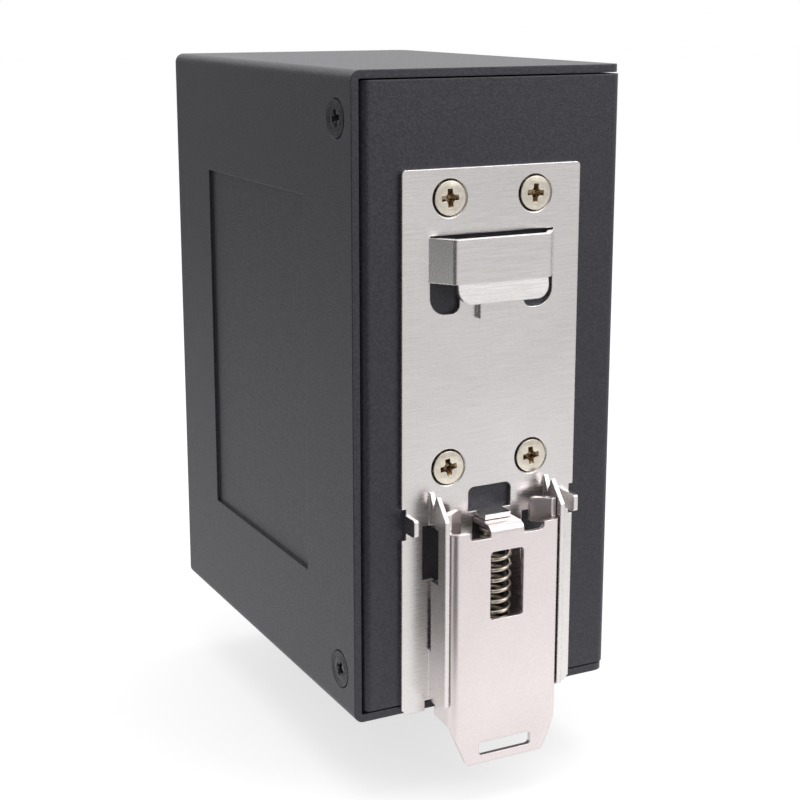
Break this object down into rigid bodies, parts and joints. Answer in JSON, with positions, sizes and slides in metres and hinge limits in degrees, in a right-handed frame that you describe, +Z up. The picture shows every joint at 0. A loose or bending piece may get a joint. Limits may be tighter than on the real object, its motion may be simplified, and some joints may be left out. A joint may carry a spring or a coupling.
{
  "type": "din rail ethernet switch",
  "caption": "Slim sheet-metal network switch that clips to a DIN rail with a fixed hook above and a sprung slide latch below.",
  "frame": {"origin": "middle of the rail seat on the outer face of the clip's plate", "axes": "+Z up, +Y out of the rear panel towards the rail, +X towards the cover's side"},
  "size_m": [0.0454, 0.0869, 0.1058],
  "materials": {
    "powder_coat": "fine-textured black powder coat",
    "plated_steel": "satin nickel-plated sheet",
    "nickel_screw": "polished nickel",
    "black_screw": "black zinc",
    "spring_wire": "drawn spring wire",
    "nut_steel": "zinc-plated",
    "board_green": "solder mask",
    "standoff_brass": "turned brass",
    "jack_black": "moulded",
    "shield_metal": "bright tinned sheet",
    "contact_gold": "gold flash",
    "terminal_green": "moulded",
    "clear_guide": "clear moulding",
    "chip_epoxy": "moulded epoxy",
    "sink_black": "black anodised",
    "can_aluminium": "drawn can"
  },
  "bodies": {
    "case": {"plate_screws": "nickel_screw", "cover_screws": "black_screw", "chassis": "powder_coat", "cover": "powder_coat", "din_plate": "plated_steel", "latch_spring": "spring_wire", "clinch_nuts": "nut_steel", "circuit_board": "board_green", "board_standoffs": "standoff_brass", "board_screws": "nut_steel", "jack_housing": "jack_black", "jack_shield": "shield_metal", "jack_contacts": "contact_gold", "terminal_header": "terminal_green", "light_pipes": "clear_guide", "switch_chip": "chip_epoxy", "heat_sink": "sink_black", "magnetics": "chip_epoxy", "capacitors": "can_aluminium", "power_inductor": "chip_epoxy", "clock_crystal": "can_aluminium"},
    "latch": {"din_latch": "plated_steel"},
    "plug": {"terminal_plug": "terminal_green", "terminal_screws": "nut_steel"}
  },
  "joints": [
    {"name": "latch_slide", "type": "slide", "parent": "case", "child": "latch", "axis": [0, 0, -1], "range_m": [0, 0.006], "stiffness_N_per_m": 1000, "springref_m": -0.006, "deforming": ["latch_spring"]},
    {"name": "plug_slide", "type": "slide", "parent": "case", "child": "plug", "axis": [0, -1, 0], "range_m": [0, 0.014]}
  ]
}
